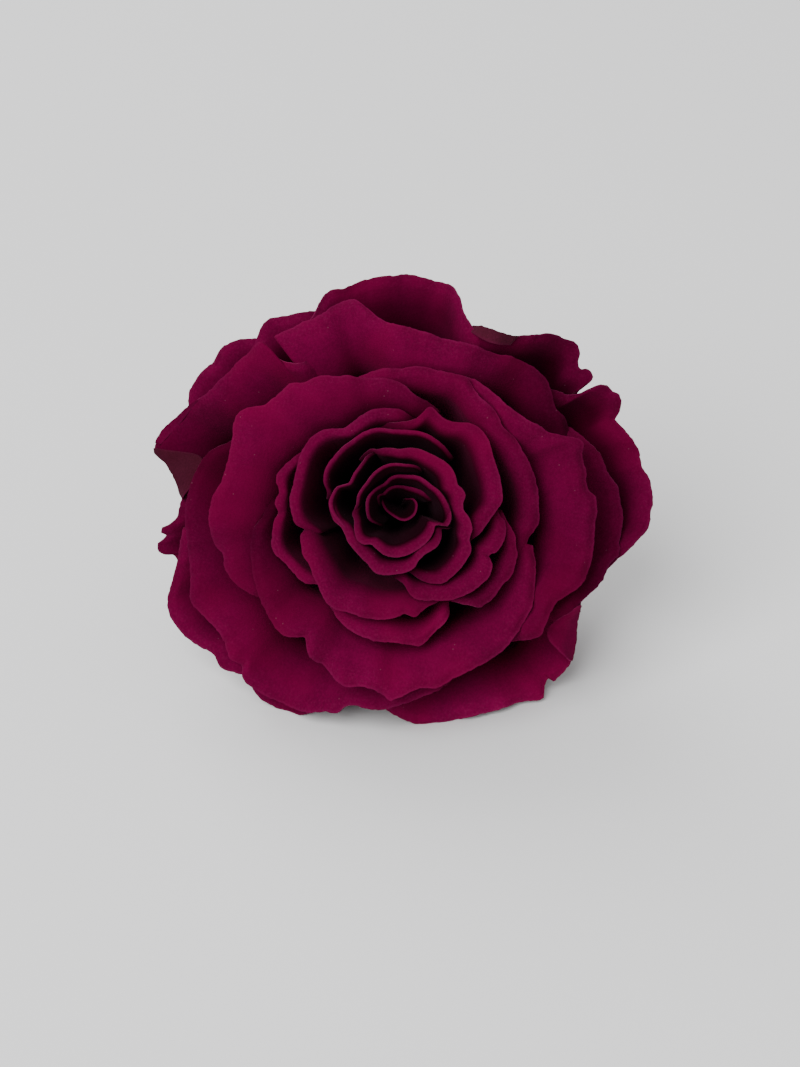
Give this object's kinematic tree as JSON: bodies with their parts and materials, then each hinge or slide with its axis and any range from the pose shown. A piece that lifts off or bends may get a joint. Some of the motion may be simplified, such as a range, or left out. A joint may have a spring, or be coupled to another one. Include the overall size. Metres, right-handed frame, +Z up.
{
  "type": "preserved rose head",
  "caption": "Open rose head with no stem, lying on its lower petals, with many waved petals, a hip, sepals and a cut stub",
  "frame": {"origin": "on the surface the rose lies on, under the middle of its box", "axes": "Z up from the surface; the open face looks towards -Y and up; X to the right seen from the front"},
  "size_m": [0.0656, 0.055, 0.0498],
  "materials": {
    "petal": "velvety preserved petal, deep magenta burgundy, paler on its back and along its rim",
    "calyx": "dried olive brown, matt, finely wrinkled",
    "stem": "dried green brown bark with a pale cut end, matt"
  },
  "bodies": {
    "root": {"bloom": "petal", "calyx": "calyx", "stem_stub": "stem"}
  },
  "joints": []
}
